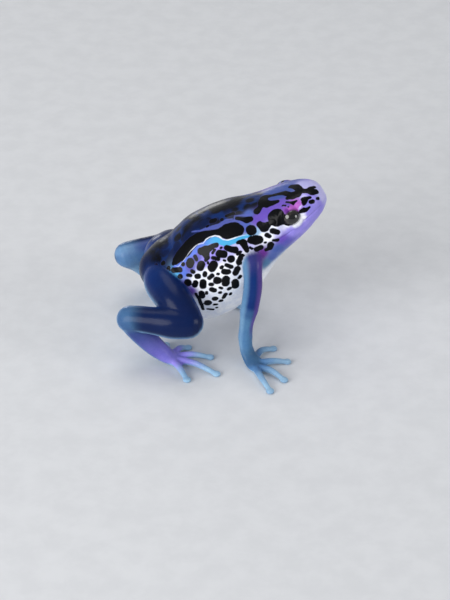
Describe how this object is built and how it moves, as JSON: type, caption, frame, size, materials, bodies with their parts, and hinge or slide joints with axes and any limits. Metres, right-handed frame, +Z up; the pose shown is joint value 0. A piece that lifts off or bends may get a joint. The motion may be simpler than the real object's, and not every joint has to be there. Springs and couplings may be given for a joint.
{
  "type": "blue poison dart frog model",
  "caption": "Life-size still model of a blue poison dart frog sitting up on its four feet, spotted black over blue and white.",
  "frame": {"origin": "on the floor under the middle of the bounding box", "axes": "+X is where the head points, +Y is the frog's left side, +Z is up"},
  "size_m": [0.046, 0.0492, 0.0367],
  "materials": {
    "head": "wet skin, glossy",
    "trunk": "wet skin, glossy",
    "eye_right": "wet, glassy black",
    "eye_left": "wet, glassy black",
    "upper_arm_right": "wet skin, glossy",
    "forearm_right": "wet skin, glossy",
    "hand_right": "wet skin, glossy",
    "thigh_right": "wet skin, glossy",
    "shank_right": "wet skin, glossy",
    "tarsus_right": "wet skin, glossy",
    "foot_right": "wet skin, glossy",
    "upper_arm_left": "wet skin, glossy",
    "forearm_left": "wet skin, glossy",
    "hand_left": "wet skin, glossy",
    "thigh_left": "wet skin, glossy",
    "shank_left": "wet skin, glossy",
    "tarsus_left": "wet skin, glossy",
    "foot_left": "wet skin, glossy"
  },
  "bodies": {
    "root": {"head": "head", "trunk": "trunk", "eye_right": "eye_right", "eye_left": "eye_left", "upper_arm_right": "upper_arm_right", "forearm_right": "forearm_right", "hand_right": "hand_right", "thigh_right": "thigh_right", "shank_right": "shank_right", "tarsus_right": "tarsus_right", "foot_right": "foot_right", "upper_arm_left": "upper_arm_left", "forearm_left": "forearm_left", "hand_left": "hand_left", "thigh_left": "thigh_left", "shank_left": "shank_left", "tarsus_left": "tarsus_left", "foot_left": "foot_left"}
  },
  "joints": []
}
